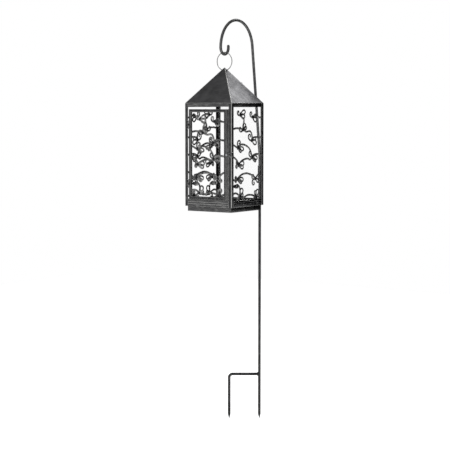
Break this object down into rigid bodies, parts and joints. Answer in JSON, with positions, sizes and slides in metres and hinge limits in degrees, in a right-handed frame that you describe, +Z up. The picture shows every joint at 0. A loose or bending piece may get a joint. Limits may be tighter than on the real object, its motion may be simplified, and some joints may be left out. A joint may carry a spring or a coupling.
{
  "type": "solar garden lantern on shepherd's hook stake",
  "caption": "Square metal lantern with pyramid roof and vine scrollwork, hung by a ring from a two-piece shepherd's hook on a two-pronged ground fork, with a solar light module.",
  "frame": {"origin": "on the pole's axis at the ground line, which is the underside of the fork's crossbar", "axes": "+Z up along the pole; the hook reaches towards -Y, and the lantern's door faces -Y"},
  "size_m": [0.1422, 0.2386, 1.0345],
  "materials": {
    "antique_black_rod": "antique black powder coat rubbed with pewter",
    "bright_wire": "bright plated wire",
    "antique_black_sheet": "antique black sheet with brushed pewter rub-through",
    "scrollwork_metal": "antique black cut sheet with pewter highlights",
    "clear_pane": "clear float glass",
    "zinc_hardware": "zinc plated",
    "keeper_metal": "worn bright steel",
    "black_rubber": "matt",
    "black_plastic": "fine textured",
    "solar_laminate": "dark blue-black cell under epoxy",
    "white_plastic": "moulded",
    "clear_lens": "clear moulded",
    "led_epoxy": "tinted epoxy",
    "green_board": "solder resist",
    "battery_sleeve": "shrink sleeve"
  },
  "bodies": {
    "stake": {"lower_pole": "antique_black_rod", "fork_prong": "antique_black_rod", "fork_weld": "antique_black_rod", "coupling_sleeve": "antique_black_rod"},
    "hook": {"hook_rod": "antique_black_rod"},
    "ring": {"hanging_ring": "bright_wire"},
    "door": {"door_frame": "antique_black_sheet", "latch_strip": "antique_black_sheet", "door_scrollwork": "scrollwork_metal", "hinge_door_leaves": "antique_black_sheet", "latch_rivet": "zinc_hardware", "latch_washer": "zinc_hardware"},
    "latch": {"latch_hook": "antique_black_sheet"},
    "switch": {"switch_slider": "black_plastic"},
    "lantern": {"roof_shell": "antique_black_sheet", "top_rails": "antique_black_sheet", "post_front_left": "antique_black_sheet", "post_front_right": "antique_black_sheet", "post_back_left": "antique_black_sheet", "post_back_right": "antique_black_sheet", "skirt_panels": "antique_black_sheet", "plinth_pan": "antique_black_sheet", "floor_plate": "antique_black_sheet", "floor_rivets": "zinc_hardware", "left_scrollwork": "scrollwork_metal", "right_scrollwork": "scrollwork_metal", "back_pane": "clear_pane", "pane_clips": "zinc_hardware", "hinge_post_leaves": "antique_black_sheet", "hinge_pins": "zinc_hardware", "latch_keeper": "keeper_metal", "ceiling_plate": "antique_black_sheet", "ceiling_screws": "zinc_hardware", "cell_gasket": "black_rubber", "cell_bezel": "black_plastic", "solar_cell": "solar_laminate", "lead_grommet": "black_rubber", "solar_lead": "black_rubber", "module_housing": "white_plastic", "module_base": "white_plastic", "base_screws": "zinc_hardware", "led_lens": "clear_lens", "led": "led_epoxy", "circuit_board": "green_board", "battery_holder": "black_plastic", "battery": "battery_sleeve", "contact_spring": "zinc_hardware", "contact_plate": "zinc_hardware", "switch_body": "black_plastic"}
  },
  "joints": [
    {"name": "hook_swivel", "type": "hinge", "parent": "stake", "child": "hook", "pos_m": [0, 0, 0.528], "axis": [0, 0, 1], "continuous": true},
    {"name": "ring_swing", "type": "hinge", "parent": "hook", "child": "ring", "pos_m": [0, -0.1585, 0.8305], "axis": [0, 1, 0], "range_deg": [-20, 20]},
    {"name": "lantern_swing", "type": "hinge", "parent": "ring", "child": "lantern", "pos_m": [0, -0.1585, 0.7906], "axis": [1, 0, 0], "range_deg": [-20, 12]},
    {"name": "door_hinge", "type": "hinge", "parent": "lantern", "child": "door", "pos_m": [-0.06, -0.2312, 0.584], "axis": [0, 0, -1], "range_deg": [0, 110]},
    {"name": "latch_turn", "type": "hinge", "parent": "door", "child": "latch", "pos_m": [0.05725, -0.2305, 0.584], "axis": [0, -1, 0], "range_deg": [0, 80]},
    {"name": "switch_slide", "type": "slide", "parent": "lantern", "child": "switch", "axis": [1, 0, 0], "range_m": [0, 0.003]}
  ]
}
